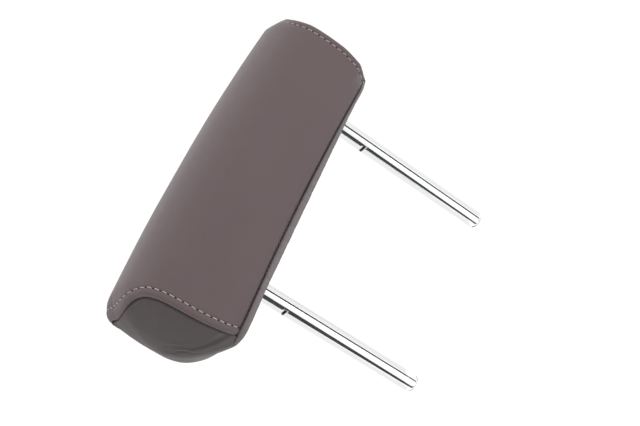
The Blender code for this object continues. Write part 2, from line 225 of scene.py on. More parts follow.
def modified(obj):
    """Applies the object's modifiers."""
    graph = bpy.context.evaluated_depsgraph_get()
    mesh = bpy.data.meshes.new_from_object(obj.evaluated_get(graph), depsgraph=graph)
    old = obj.data
    obj.modifiers.clear()
    obj.data = mesh
    bpy.data.meshes.remove(old)
    mesh.name = obj.name


def thicken(obj, thickness):
    """Gives a sheet its thickness, inwards."""
    solid = obj.modifiers.new("Thickness", "SOLIDIFY")
    solid.thickness = thickness * MM
    solid.offset = -1.0
    modified(obj)


def finish_piece(obj, slot, *nodes, fill=None):
    """Says what a finished piece rides on and hides the CAD nodes it replaces; slot and fill are not
    used.
    """
    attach(obj, "root")
    if nodes:
        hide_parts(*nodes)


def closed_piece(name, verts, faces, mat, slot, *nodes, fill=None):
    """Makes and finishes a piece whose mesh is a closed surface."""
    obj = new_object(name, verts, faces, mat)
    outward(obj)
    finish_piece(obj, slot, *nodes, fill=fill)


def tube(verts, faces, path, radius, sides=8, squash=1.0, ups=None):
    """Adds a closed tube along a path to the lists; radius is a number for each point."""
    path = np.array(path, float)
    tangents = np.gradient(path, axis=0)
    start = len(verts)
    count = len(path)
    for i in range(count):
        t = tangents[i] / np.linalg.norm(tangents[i])
        up = np.array(ups[i] if ups is not None else (0, 0, 1.0))
        side = np.cross(t, up)
        side /= np.linalg.norm(side)
        up = np.cross(side, t)
        for k in range(sides):
            a = 2 * math.pi * k / sides
            verts.append(tuple(path[i] + radius[i] * (math.cos(a) * side + math.sin(a) * up * squash)))
    faces += grid_faces(count, sides, wrap_cols=True, start=start) + end_caps(count, sides, start)


# ------------------------------ materials


class Nodes:
    """A short way to write a node material."""

    def __init__(self, mat):
        self.tree = mat.node_tree
        self.shader = self.tree.nodes["Principled BSDF"]

    def add(self, kind, settings=None, **inputs):
        node = self.tree.nodes.new(kind)
        for key, value in (settings or {}).items():
            setattr(node, key, value)
        for key, value in inputs.items():
            self.put(node, key.replace("_", " "), value)
        return node

    def put(self, node, key, value):
        socket = node.inputs[key]
        if isinstance(value, bpy.types.NodeSocket):
            self.tree.links.new(value, socket)
        else:
            socket.default_value = value

    def place(self, scale=(1.0, 1.0, 1.0), turn=(0.0, 0.0, 0.0)):
        coord = self.add("ShaderNodeTexCoord")
        mapping = self.add("ShaderNodeMapping")
        mapping.inputs["Scale"].default_value = scale
        mapping.inputs["Rotation"].default_value = turn
        self.tree.links.new(coord.outputs["Object"], mapping.inputs["Vector"])
        return mapping.outputs["Vector"]

    def noise(self, vector, scale, detail=3.0, rough=0.5):
        node = self.add("ShaderNodeTexNoise", Scale=scale, Detail=detail, Roughness=rough)
        self.tree.links.new(vector, node.inputs["Vector"])
        return node.outputs["Fac"]

    def range(self, value, lo, hi, to_lo, to_hi):
        node = self.add("ShaderNodeMapRange")
        self.tree.links.new(value, node.inputs["Value"])
        for key, number in (("From Min", lo), ("From Max", hi), ("To Min", to_lo), ("To Max", to_hi)):
            node.inputs[key].default_value = number
        return node.outputs["Result"]

    def mix(self, factor, a, b, blend="MIX"):
        node = self.add("ShaderNodeMix", {"data_type": "RGBA", "blend_type": blend})
        for socket, value in ((node.inputs[0], factor), (node.inputs[6], a), (node.inputs[7], b)):
            if isinstance(value, bpy.types.NodeSocket):
                self.tree.links.new(value, socket)
            else:
                socket.default_value = value if isinstance(value, float) else (*value, 1.0)[:4]
        return node.outputs[2]

    def bump(self, height, strength, distance_mm, before=None):
        node = self.add("ShaderNodeBump")
        node.inputs["Strength"].default_value = strength
        node.inputs["Distance"].default_value = distance_mm * MM
        self.tree.links.new(height, node.inputs["Height"])
        if before is not None:
            self.tree.links.new(before, node.inputs["Normal"])
        return node.outputs["Normal"]

    def out(self, **inputs):
        """Sets inputs of the shader: a socket is linked, anything else is its plain value."""
        for key, value in inputs.items():
            self.put(self.shader, key.replace("_", " "), value)


def new_material(name, colour=(0.8, 0.8, 0.8)):
    """A node material, and its Nodes; colour is what a plain viewport shows."""
    mat = bpy.data.materials.new(name)
    mat.use_nodes = True
    mat.diffuse_color = (*colour, 1.0)
    return mat, Nodes(mat)


def tint(colour, share):
    """A colour made darker or lighter."""
    return tuple(c * share for c in colour)


def leather(name, colour, roughness=0.56, grain=1.0, tone=0.05, specular=0.42):
    """Fine-grained, pigment-finished upholstery leather: pebble grain, pores, soft cloudy tone."""
    mat, n = new_material(name, colour)
    place = n.place()
    cells = n.add("ShaderNodeTexVoronoi", {"feature": "DISTANCE_TO_EDGE"}, Scale=1050.0)
    n.tree.links.new(place, cells.inputs["Vector"])
    crease = n.range(cells.outputs["Distance"], 0.0, 0.16, 0.0, 1.0)
    fine = n.noise(place, 2600.0, 3.0, 0.6)
    cloud = n.noise(place, 26.0, 4.0, 0.55)
    patches = n.noise(place, 190.0, 3.0, 0.6)

    cloudy = n.range(cloud, 0.3, 0.7, 0.0, 1.0)
    base = n.mix(cloudy, tint(colour, 1 - tone * 1.6), tint(colour, 1 + tone * 1.6))
    base = n.mix(n.range(patches, 0.35, 0.65, 0.0, 0.35), base, tint(colour, 1.06))
    base = n.mix(n.range(crease, 0.0, 1.0, 0.16 * grain, 0.0), base, tint(colour, 0.45))
    rough = n.range(patches, 0.3, 0.7, roughness - 0.035, roughness + 0.035)
    normal = n.bump(crease, 0.30 * grain, 0.10)
    normal = n.bump(fine, 0.22 * grain, 0.05, normal)
    normal = n.bump(patches, 0.18 * grain, 0.18, normal)
    n.out(Base_Color=base, Roughness=rough, Normal=normal)
    n.out(IOR=1.46, Specular_IOR_Level=specular, Sheen_Weight=0.06, Sheen_Roughness=0.45)
    return mat


def thread(name, colour):
    """Bonded polyester sewing thread, three plies twisted together."""
    mat, n = new_material(name, colour)
    place = n.place((1.0, 1.0, 1.0), (0.5, 0.4, 0.7))
    bands = {"wave_type": "BANDS", "bands_direction": "DIAGONAL"}
    ply = n.add("ShaderNodeTexWave", bands, Scale=340.0, Distortion=1.2)
    n.tree.links.new(place, ply.inputs["Vector"])
    fuzz = n.noise(place, 3800.0, 2.0)
    base = n.mix(n.range(ply.outputs["Fac"], 0.1, 0.8, 0.0, 1.0), tint(colour, 0.62), colour)
    normal = n.bump(ply.outputs["Fac"], 0.5, 0.12)
    normal = n.bump(fuzz, 0.25, 0.05, normal)
    roughness = n.range(fuzz, 0.3, 0.7, 0.55, 0.75)
    n.out(Base_Color=base, Roughness=roughness, Normal=normal, Sheen_Weight=0.25)
    return mat


def dark_hole(name):
    """The shadowed inside of a needle hole."""
    mat, n = new_material(name)
    fuzz = n.noise(n.place(), 2200.0, 2.0)
    base = n.mix(fuzz, (0.006, 0.005, 0.005), (0.016, 0.013, 0.012))
    roughness = n.range(fuzz, 0.3, 0.7, 0.85, 0.98)
    n.out(Base_Color=base, Roughness=roughness, Specular_IOR_Level=0.1)
    return mat


def chrome(name):
    """Bright chromium plate with faint handling marks."""
    mat, n = new_material(name, (0.8, 0.8, 0.82))
    place = n.place()
    marks = n.place((1400.0, 1400.0, 40.0))
    haze = n.noise(place, 55.0, 4.0, 0.6)
    scratch = n.noise(marks, 1.0, 2.0, 0.5)
    rough = n.range(haze, 0.3, 0.75, 0.028, 0.065)
    base = n.mix(haze, (0.735, 0.74, 0.755), (0.775, 0.78, 0.785))
    n.out(Base_Color=base, Roughness=rough, Normal=n.bump(scratch, 0.02, 0.02), Metallic=1.0)
    return mat


def metal(name, colour, rough, stretch=(1.0, 1.0, 1.0), scale=300.0, stain=0.25):
    """Brushed or plated metal with a light, cloudy stain."""
    mat, n = new_material(name, colour)
    brush = n.noise(n.place(stretch), scale, 4.0, 0.6)
    cloud = n.noise(n.place(), 45.0, 3.0, 0.55)
    base = n.mix(n.range(cloud, 0.3, 0.7, 0.0, 1.0), tint(colour, 1 - stain), colour)
    roughness = n.range(brush, 0.3, 0.7, rough - 0.08, rough + 0.1)
    n.out(Base_Color=base, Roughness=roughness, Normal=n.bump(brush, 0.12, 0.06), Metallic=1.0)
    return mat


def plastic(name, colour):
    """Moulded plastic with a fine spark-eroded texture."""
    mat, n = new_material(name, colour)
    place = n.place()
    spark = n.add("ShaderNodeTexVoronoi", {"feature": "F1"}, Scale=1700.0)
    n.tree.links.new(place, spark.inputs["Vector"])
    cloud = n.noise(place, 120.0, 3.0)
    base = n.mix(cloud, tint(colour, 0.8), tint(colour, 1.25))
    normal = n.bump(spark.outputs["Distance"], 0.15, 0.05)
    n.out(Base_Color=base, Roughness=n.range(cloud, 0.3, 0.7, 0.40, 0.52), Normal=normal)
    return mat


def foam(name, colour):
    """Cut open-cell foam."""
    mat, n = new_material(name, colour)
    place = n.place()
    cells = n.add("ShaderNodeTexVoronoi", {"feature": "F1"}, Scale=750.0)
    n.tree.links.new(place, cells.inputs["Vector"])
    cloud = n.noise(place, 40.0, 3.0)
    wall_to_pore = n.range(cells.outputs["Distance"], 0.1, 0.6, 0.0, 1.0)
    base = n.mix(wall_to_pore, tint(colour, 0.55), colour)
    base = n.mix(n.range(cloud, 0.35, 0.7, 0.0, 0.3), base, tint(colour, 0.85))
    normal = n.bump(cells.outputs["Distance"], 0.6, 0.5)
    roughness = n.range(cloud, 0.3, 0.7, 0.88, 0.98)
    n.out(Base_Color=base, Roughness=roughness, Normal=normal, Sheen_Weight=0.2)
    return mat


def wadding(name, colour):
    """Bonded polyester wadding: long soft fibres."""
    mat, n = new_material(name, colour)
    fibre = n.noise(n.place((1.0, 1.0, 5.0)), 700.0, 5.0, 0.65)
    cloud = n.noise(n.place(), 70.0, 4.0)
    base = n.mix(n.range(fibre, 0.35, 0.65, 0.0, 1.0), tint(colour, 0.75), colour)
    normal = n.bump(fibre, 0.6, 0.5)
    roughness = n.range(cloud, 0.3, 0.7, 0.9, 1.0)
    n.out(Base_Color=base, Roughness=roughness, Normal=normal, Sheen_Weight=0.5)
    return mat


def tape(name, colour, loops):
    """Woven hook or loop tape."""
    mat, n = new_material(name, colour)
    place = n.place()
    bands = {"wave_type": "BANDS", "bands_direction": "X"}
    weave = n.add("ShaderNodeTexWave", bands, Scale=420.0, Distortion=2.0 if loops else 0.4)
    n.tree.links.new(place, weave.inputs["Vector"])
    pile = n.noise(place, 1900.0, 4.0, 0.7)
    base = n.mix(n.range(pile, 0.35, 0.7, 0.0, 1.0), tint(colour, 0.5), tint(colour, 1.7))
    normal = n.bump(pile, 0.6, 0.3, n.bump(weave.outputs["Fac"], 0.5, 0.25))
    roughness = n.range(pile, 0.3, 0.7, 0.75, 0.95)
    n.out(Base_Color=base, Roughness=roughness, Normal=normal, Sheen_Weight=0.3)
    return mat


WRAP_MAT = leather("leather_wrap", (0.0785, 0.0565, 0.0590), tone=0.02, grain=0.8)
# painted shade: the end panels' leather gets a darker colour than the wrap's
SHADED_GUSSET_MAT = leather("leather_end_painted_shade", (0.036, 0.0260, 0.0262), 0.50, 0.9, tone=0.03, specular=0.56)
WELT_MAT = leather("leather_piping", (0.118, 0.100, 0.101), tone=0.06, roughness=0.5)
# painted shade: the underside's leather gets a darker colour than the wrap's
SHADED_UNDER_MAT = leather("leather_underside_painted_shade", (0.060, 0.045, 0.046), tone=0.04)
THREAD_MAT = thread("thread", (0.34, 0.30, 0.285))
HEM_THREAD_MAT = thread("hem_thread", (0.16, 0.14, 0.135))
SEAM_THREAD_MAT = thread("seam_thread", (0.030, 0.025, 0.025))
HOLE_MAT = dark_hole("needle_hole")
CHROME_MAT = chrome("chrome_plate")
STEEL_MAT = metal("mild_steel", (0.42, 0.42, 0.43), 0.38, (1.0, 1.0, 12.0))
# the notch's faces: bare steel, made darker than that as painted shade
NOTCH_STEEL_AND_SHADE_MAT = metal("notch_steel_and_painted_shade", (0.10, 0.10, 0.105), 0.5)
ZINC_MAT = metal("zinc_plate", (0.62, 0.61, 0.56), 0.30, scale=900.0, stain=0.15)
PLASTIC_MAT = plastic("moulded_plastic", (0.022, 0.022, 0.023))
FOAM_MAT = foam("cut_foam", (0.72, 0.64, 0.42))
WADDING_MAT = wadding("wadding_fibre", (0.80, 0.80, 0.78))
HOOK_MAT = tape("hook_tape", (0.020, 0.020, 0.021), False)
LOOP_MAT = tape("loop_tape", (0.024, 0.023, 0.023), True)


# ------------------------------ camera, floor and light

camera = bpy.data.objects.new("camera", bpy.data.cameras.new("camera"))
bpy.context.scene.collection.objects.link(camera)
camera.data.lens = 49.95
camera.data.sensor_width = 36.0
camera.data.clip_start, camera.data.clip_end = 0.02, 60.0
look = Vector((0.43053, 0.86530, -0.25670)).normalized()
right = Vector((0.39583, -0.43661, -0.80789))
right = (right - look * right.dot(look)).normalized()
up = right.cross(look)
turn = Matrix((right, up, -look)).transposed().to_4x4()
camera.matrix_world = Matrix.Translation((-0.27613, -0.55927, 0.28652)) @ turn
bpy.context.scene.camera = camera

# A white studio, brightest above and behind the object
world = bpy.data.worlds.new("studio")
bpy.context.scene.world = world
world.use_nodes = True
sky = world.node_tree
sky.nodes["Background"].inputs["Color"].default_value = (1.0, 1.0, 1.0, 1.0)
where = sky.nodes.new("ShaderNodeTexCoord")
dot = sky.nodes.new("ShaderNodeVectorMath")
dot.operation = "DOT_PRODUCT"
dot.inputs[1].default_value = Vector((0.35, 0.80, 0.45)).normalized()
ramp = sky.nodes.new("ShaderNodeMapRange")
for key, number in (("From Min", -0.8), ("From Max", 1.0), ("To Min", 0.45), ("To Max", 1.65)):
    ramp.inputs[key].default_value = number
sky.links.new(where.outputs["Generated"], dot.inputs[0])
sky.links.new(dot.outputs["Value"], ramp.inputs["Value"])
sky.links.new(ramp.outputs["Result"], sky.nodes["Background"].inputs["Strength"])


def area_light(name, place, target, size, power):
    """A square soft box that shows in no reflection."""
    data = bpy.data.lights.new(name, "AREA")
    data.shape = "RECTANGLE"
    data.size = data.size_y = size
    data.energy = power
    light = bpy.data.objects.new(name, data)
    bpy.context.scene.collection.objects.link(light)
    light.location = place
    light.rotation_mode = "QUATERNION"
    light.rotation_quaternion = (Vector(target) - Vector(place)).to_track_quat("-Z", "Y")
    light.visible_glossy = False


area_light("key", (0.9, -2.2, 1.3), (0, 0, 0.18), 1.6, 62.0)
area_light("fill", (-1.6, 1.0, -0.1), (-0.13, 0.0, 0.17), 1.0, 16.0)


def studio_paint(name, grey_1, grey_2, speck_scale, roughness=None, glow=None, specular=None):
    """A plain grey with a faint speck; with a glow it sends out light of that strength instead."""
    mat, n = new_material(name)
    speck = n.noise(n.place(), speck_scale, 2.0)
    tone = n.mix(speck, (grey_1,) * 3, (grey_2,) * 3)
    if glow is None:
        n.out(Base_Color=tone, Roughness=n.range(speck, 0.3, 0.7, *roughness))
    else:
        n.out(Base_Color=(0.0, 0.0, 0.0, 1.0), Emission_Color=tone, Emission_Strength=glow)
    if specular is not None:
        n.out(Specular_IOR_Level=specular)
    return mat


FLOOR_MAT = studio_paint("floor", 0.81, 0.825, 4.0, roughness=(0.85, 0.95))
FLAG_MAT = studio_paint("flag_cloth", 0.045, 0.055, 300.0, roughness=(0.9, 1.0), specular=0.0)
GREY_MAT = studio_paint("grey_cloth", 1.0, 0.97, 300.0, glow=1.13, specular=0.0)
WALL_MAT = studio_paint("wall", 1.0, 0.985, 4.0, glow=1.0)

FLOOR_Z, FLOOR_RADIUS = -500.0, 6000.0
WALL_RADIUS, WALL_TOP = 5900.0, 4500.0
CARD_FLOOR_Z = -498.0  # cards that lie on the floor


def at(azimuth, distance, z):
    """A place round the studio: azimuth 0 is in front (-Y), 90 is at +X."""
    a = math.radians(azimuth)
    return (distance * math.sin(a), -distance * math.cos(a), z)


def card(name, verts, faces, mat):
    """A studio card seen only in the shine of the object."""
    obj = new_object(name, verts, faces, mat, smooth=False)
    obj.visible_camera = False
    obj.visible_diffuse = False
    obj.visible_shadow = False


def flag(name, azimuth, low_deg, high_deg, high):
    """A standing black card, narrower or wider at its foot, for one dark line down the chrome."""
    distance, low = 1000.0, -490.0
    corners = [(-0.5, low, low_deg), (0.5, low, low_deg), (0.5, high, high_deg), (-0.5, high, high_deg)]
    verts = [at(azimuth + share * width, distance, z) for share, z, width in corners]
    card(name, verts, [(0, 1, 2, 3)], FLAG_MAT)


def arc_strip(first, last, near, far, steps):
    """Points and faces of part of a ring round the object; near and far are (radius, height)."""
    turns = np.linspace(first, last, steps)
    verts = [at(a, *near) for a in turns] + [at(a, *far) for a in turns]
    return verts, [(k, k + 1, steps + 1 + k, steps + k) for k in range(steps - 1)]


def sector(name, first, last, near, far, mat=FLAG_MAT):
    """A card in the shape of part of a ring: flat on the floor, or standing when its heights differ."""
    card(name, *arc_strip(first, last, near, far, 24), mat)


def floor_flag(name, first, last, near, far):
    sector(name, first, last, (near, CARD_FLOOR_Z), (far, CARD_FLOOR_Z))


def grey_card(name, first, last):
    sector(name, first, last, (1030.0, -495.0), (1030.0, 700.0), GREY_MAT)


ring = [at(a, FLOOR_RADIUS, FLOOR_Z) for a in range(90, 450, 6)]
floor = new_object("floor", ring, [tuple(range(len(ring)))], FLOOR_MAT, smooth=False)

flag("flag_1", -63.0, 21.0, 50.0, -60.0)
flag("flag_2", 23.0, 18.0, 21.0, -40.0)
floor_flag("floor_flag_1", -74.0, -52.0, 260.0, 1000.0)
floor_flag("floor_flag_2", 14.0, 32.0, 260.0, 1000.0)
floor_flag("floor_flag_3", 110.0, 215.0, 230.0, 760.0)
grey_card("grey_card_1", 38.0, 176.0)
grey_card("grey_card_2", -184.0, -92.0)

# A plain white wall far behind, seen by the camera and lighting nothing
verts, faces = arc_strip(0, 360, (WALL_RADIUS, FLOOR_Z), (WALL_RADIUS, WALL_TOP), 73)
wall = new_object("wall", verts, faces, WALL_MAT, smooth=False)
wall.visible_diffuse = wall.visible_glossy = wall.visible_shadow = wall.visible_transmission = False

view = bpy.context.scene.view_settings
view.view_transform = "Standard"
view.look = "None"
view.exposure = 0.0
view.gamma = 1.0


# ------------------------------ the leather wrap

WRAP_STEP = 0.62  # between points of the section
wrap_line, wrap_s = catmull(WRAP_LINE, WRAP_STEP)
wrap_n = normals_2d(wrap_line)
front_s = catmull(WRAP_LINE[: FRONT_START + 1], WRAP_STEP)[1][-1]

# Across an end, from inside the seam outwards: distance in from the wrap's edge, height above the face
EDGE_ROWS = [(1.5, -5.6), (0.75, -4.2), (0.25, -3.0), (0.0, -2.0), (0.18, -1.15), (0.65, -0.5)]
EDGE_ROWS += [(1.4, -0.1), (2.3, 0.16), (3.2, 0.2), (4.0, 0.08), (4.6, -0.12), (5.3, -0.34)]
EDGE_ROWS += [(6.0, -0.14), (6.8, 0.02), (8.0, 0.06), (10.0, 0.03), (13.0, 0.0)]
edge_rows, _ = catmull(EDGE_ROWS, 0.42)
edge_face = edge_rows[edge_rows[:, 1] > -1.2]  # the rows outside the seam, sorted by distance in
edge_face = edge_face[np.lexsort((edge_face[:, 1], edge_face[:, 0]))]


def relief(inward, s):
    """Marks of sewing near an end seam: needle holes pull the leather down, and it rises between."""
    phase = 2 * math.pi * s / STITCH_PITCH
    at_hole = (0.5 + 0.5 * np.cos(phase)) ** 3
    row = np.exp(-(((inward - STITCH_IN) / 0.55) ** 2))
    band = np.exp(-(((inward - 3.0) / 1.3) ** 2))
    inside = np.exp(-(((inward - 7.2) / 1.3) ** 2))
    return -0.34 * row * at_hole - 0.05 * band * np.cos(phase) - 0.05 * inside * np.cos(phase)


# How far the face is rounded down at an end, and how far in, by distance along the seam
DROP_AT = [58, 66, 74, 82, 90, 98, 106, 112, 116, 122, 180, 205]
DROP = [0.0, 0.4, 1.5, 3.6, 6.0, 8.0, 9.2, 7.8, 5.4, 3.6, 2.6, 1.6]
DROP_WIDTH = [9, 10, 12, 14, 17, 18, 17, 13, 10, 8.5, 8.5, 8.0]


def edge_drop(inward, s):
    """How far the face is rounded down near an end: nothing on the front, most over the top."""
    width = np.interp(s, DROP_AT, DROP_WIDTH)
    amount = np.interp(s, DROP_AT, DROP)
    return amount * np.maximum(0.0, 1 - np.maximum(inward, 0.0) / width) ** 1.8


def drop_way(y, z):
    """The way out from the middle of the section; the ends are rounded down against it."""
    way = np.stack([y - 14.0, z - MID_Z], -1)
    return way / np.linalg.norm(way, axis=-1, keepdims=True)


def build_wrap():
    """The wrap: one sheet from end to end, its edges turned down into the end seams."""
    count = len(wrap_line)
    end_of_rows = EDGE_ROWS[-1][0]
    columns = [("left", e, o) for e, o in edge_rows]
    middle = 54
    columns += [("middle", i / middle, 0.0) for i in range(1, middle)]
    columns += [("right", e, o) for e, o in edge_rows[::-1]]
    y, z, reach = wrap_line.T
    line_yz = wrap_line[:, :2]
    hem_fade = 1 - ease((wrap_s - (wrap_s[-1] - HEM_IN)) / 2.0)
    along_seam = wrap_s - front_s
    way = drop_way(y, z)
    rows = []
    for where, value, lift in columns:
        if where == "middle":
            x = (reach - end_of_rows) * (2 * value - 1)
            lift = drop = np.zeros(count)
        else:
            x = (reach - value) * (-1 if where == "left" else 1)
            lift = (lift + relief(value, along_seam)) * hem_fade
            drop = edge_drop(value, along_seam) * hem_fade
        moved = line_yz + wrap_n * lift[:, None] - way * drop[:, None]
        rows.append(np.stack(shaped(x, *moved.T), 1))
    flat = np.array(rows).reshape(-1, 3)
    # slow, shallow hollows of hand-covered foam, stronger at the back
    wave = 0.16 * smooth_noise(flat, 95.0, 4) + 0.05 * smooth_noise(flat, 30.0, 9)
    wave *= 0.35 + 0.65 * np.clip((flat[:, 1] - 5) / 20, 0, 1)
    inner = np.clip(1 - (np.abs(flat[:, 0]) - 100) / 14, 0, 1)
    flat[:, 1:] += np.tile(wrap_n, (len(columns), 1)) * (wave * inner)[:, None]
    wrap = new_object("leather_wrap", flat, grid_faces(len(columns), count, flip=True), WRAP_MAT)
    middle_face = wrap.data.polygons[len(wrap.data.polygons) // 2]
    if middle_face.normal.z * (middle_face.center.z - MID_Z * MM) < 0:
        wrap.data.flip_normals()
    thicken(wrap, LEATHER)
    wrap.data.shade_smooth()
    finish_piece(wrap, "leather", "cover_wrap", fill=0.9)


build_wrap()


def on_wrap(side, inward, s, height):
    """A point on the wrap near an end, and the way up from the face there.

    inward is how far in from the edge, s how far along the seam, height how far above the face.
    """
    y, z, reach = (np.interp(s + front_s, wrap_s, wrap_line[:, k]) for k in range(3))
    ny, nz = (np.interp(s + front_s, wrap_s, wrap_n[:, k]) for k in range(2))
    lift = height + np.interp(inward, *edge_face.T)
    down = drop_way(y, z) * edge_drop(inward, s)
    x, py, pz = shaped(side * (reach - inward), y + ny * lift - down[0], z + nz * lift - down[1])
    return np.array([x, py, pz]), np.array([0.0, ny, nz])


def build_stitches(side, name):
    """One row of top-stitching: a short raised length of thread between each pair of needle holes."""
    generator = random.Random(11 + side)
    verts, faces = [], []
    hole_verts, hole_faces = [], []
    total = wrap_s[-1] - front_s
    number = int((total - 20.0) / STITCH_PITCH)
    for i in range(number):
        start, end = i * STITCH_PITCH + 0.9, (i + 1) * STITCH_PITCH - 0.9
        slant = 0.16 + generator.uniform(-0.05, 0.05)
        sway = generator.uniform(-0.07, 0.07)
        path, ups, radius = [], [], []
        for k in range(11):
            t = k / 10
            height = -0.57 + 0.92 * math.sin(math.pi * t) ** 0.45
            inward = STITCH_IN + sway + slant * (2 * t - 1)
            point, up = on_wrap(side, inward, start + (end - start) * t, height)
            path.append(point)
            ups.append(up)
            radius.append(0.37 if 0 < k < 10 else 0.28)
        tube(verts, faces, path, radius, 8, 0.8, ups)
    sides = 12
    for i in range(number + 1):
        point, up = on_wrap(side, STITCH_IN, i * STITCH_PITCH, -0.20)
        along = on_wrap(side, STITCH_IN, i * STITCH_PITCH + 0.5, -0.20)[0] - point
        along /= np.linalg.norm(along)
        across = np.cross(along, up)
        base = len(hole_verts)
        for ring_share, rise in ((1.0, 0.0), (0.72, 0.05), (0.0, 0.07)):
            for k in range(sides if ring_share else 1):
                a = 2 * math.pi * k / sides  # needle holes are longer along the row
                spread = along * 1.05 * math.cos(a) + across * 0.62 * math.sin(a)
                hole_verts.append(tuple(point + ring_share * spread + up * rise))
        hole_verts.append(tuple(point - up * 0.3))
        inner, top, bottom = base + sides, base + 2 * sides, base + 2 * sides + 1
        for k in range(sides):
            m = (k + 1) % sides
            hole_faces.append((base + k, base + m, inner + m, inner + k))
            hole_faces.append((inner + k, inner + m, top))
            hole_faces.append((base + m, base + k, bottom))
    closed_piece("top_stitch_" + name, verts, faces, THREAD_MAT, "leather")
    closed_piece("needle_holes_" + name, hole_verts, hole_faces, HOLE_MAT, "leather")


for side, name in SIDES:
    build_stitches(side, name)


# ------------------------------ stuffed end panels

rim_points, rim_from = catmull(WRAP_LINE[FRONT_START : WALL_END + 1], 9.0)
rim_points[:, :2] -= drop_way(rim_points[:, 0], rim_points[:, 1]) * edge_drop(0.0, rim_from)[:, None]
rim_line, rim_s = catmull([tuple(p) for p in rim_points] + FOOT_LINE, 0.8, closed=True)
rim_n = normals_2d(rim_line, closed=True)
rim_y, rim_z, rim_x = rim_line.T
# The panel runs level with the seam over the top, stands proud of it down the back, and sits
# shallow at the foot
rim_stand = 1 - 0.8 * ease((rim_z - 198) / 12)
rim_stand += 0.8 * ease((rim_y - 20) / 10) * ease((206 - rim_z) / 12)
rim_sink = 1 - 0.62 * ease((149 - rim_z) / 6) * ease((4 - rim_y) / 8)

# Out of the seam: distance in from the wrap's edge, depth below the face
GUSSET_ROWS = [(0.9, -7.0), (0.5, -5.4), (0.2, -4.2), (0.15, -3.6), (0.0, -3.2), (-0.3, -3.1)]

# How full the end panel is in each direction, in degrees from +Y: a low number is a straight
# slope, a high one a round shoulder
FULL_AT = [0, 45, 90, 125, 155, 180, 205, 235, 270, 315, 360]
FULLNESS = [2.2, 2.0, 1.9, 1.55, 1.25, 1.12, 1.3, 2.0, 3.0, 2.8, 2.2]


def gusset_rings(rim_inset, rings, dome=DOME_X, start_lift=0.3, sink=rim_sink):
    """Rings of the domed part, from the seam in to its highest point: (y, z, x, share) for each."""
    made = []
    ry = rim_y + rim_n[:, 0] * rim_inset * sink - DOME_Y
    rz = rim_z + rim_n[:, 1] * rim_inset * sink - DOME_Z
    start = rim_x + start_lift * (rim_stand if start_lift > 0 else 1)
    full = np.interp(np.degrees(np.arctan2(rz, ry)) % 360, FULL_AT, FULLNESS)
    for _ in range(60):
        full = (np.roll(full, 1) + 2 * full + np.roll(full, -1)) / 4
    soft = 0.16  # rounds off the highest point
    low = soft**full
    for i in range(rings):
        share = 1 - i / rings
        fall = ((share**2 + soft**2) ** (full / 2) - low) / ((1 + soft**2) ** (full / 2) - low)
        x = start * fall + dome * (1 - fall)
        made.append((DOME_Y + ry * share, DOME_Z + rz * share, x, share))
    return made


CREASES = {
    # place along the panel's depth and height, direction in degrees, length, depth, width
    "left": [
        (2.0, 170.0, 62.0, 22.0, 0.30, 0.75),
        (4.5, 166.5, 60.0, 26.0, 0.34, 0.80),
        (-1.5, 166.0, 66.0, 14.0, 0.22, 0.60),
        (8.0, 169.0, 56.0, 12.0, 0.20, 0.60),
        (0.5, 161.0, 58.0, 16.0, 0.22, 0.70),
    ],
    "right": [
        (5.0, 168.0, 58.0, 24.0, 0.28, 0.80),
        (1.0, 172.0, 64.0, 14.0, 0.20, 0.60),
        (9.0, 164.0, 52.0, 16.0, 0.22, 0.70),
    ],
}


def crease_depth(y, z, name):
    """How far the drag creases of an end panel pull it in, with a soft ridge beside each."""
    total = np.zeros_like(y)
    for cy, cz, angle, length, depth, width in CREASES[name]:
        a = math.radians(angle)
        along = (y - cy) * math.cos(a) + (z - cz) * math.sin(a)
        across = -(y - cy) * math.sin(a) + (z - cz) * math.cos(a)
        across = across + 0.012 * along**2 + 0.35 * np.sin(along * 0.55 + cy)
        fade = np.clip(1 - (along / (length / 2)) ** 2, 0, 1)
        fold = np.exp(-((across / width) ** 2))
        ridge = np.exp(-(((across - 1.6 * width) / (1.3 * width)) ** 2))
        total += depth * fade * (0.55 * ridge - fold)
    return total


def shaped_rings(side, rings):
    """The points of rings of (y, z, x) on one end of the pad."""
    return [tuple(v) for y, z, x in rings for v in np.stack(shaped(side * x, y, z), 1)]


def dome_centre(side, x):
    """A point on the axis of an end panel's dome."""
    return tuple(float(v) for v in shaped(side * float(x), DOME_Y, DOME_Z))


def build_gusset(side, name):
    """A stuffed end panel, from inside its seam to the top of its dome."""
    count = len(rim_line)
    rows = []
    for inward, lift in GUSSET_ROWS:
        y = rim_y + rim_n[:, 0] * lift * rim_sink
        z = rim_z + rim_n[:, 1] * lift * rim_sink
        rows.append((y, z, rim_x - (inward if inward > 0 else inward * rim_stand)))
    for y, z, x, share in gusset_rings(GUSSET_ROWS[-1][1], 46)[1:]:
        flat = np.stack([x, y, z], 1)
        lump = 0.22 * smooth_noise(flat, 34.0, 21 + side) + 0.08 * smooth_noise(flat, 11.0, 31 + side)
        # small gathers where the leather is pulled into the seam
        pucker = 0.16 * np.sin(rim_s * 2 * math.pi / 7.3) * share**18
        rows.append((y, z, x + lump * (1 - share**3) + pucker + crease_depth(y, z, name)))
    verts = shaped_rings(side, rows) + [dome_centre(side, rows[-1][2].mean() + 0.02)]
    faces = grid_faces(len(rows), count, wrap_cols=True)
    last = (len(rows) - 1) * count
    faces += [(last + j, last + (j + 1) % count, len(verts) - 1) for j in range(count)]
    # the end panel's darker leather is painted shade
    gusset = new_object("end_panel_" + name, verts, faces, SHADED_GUSSET_MAT)
    if gusset.data.polygons[-1].normal.x * side < 0:
        gusset.data.flip_normals()
    thicken(gusset, LEATHER)
    gusset.data.shade_smooth()
    finish_piece(gusset, "leather", "gusset_" + name, fill=0.75)


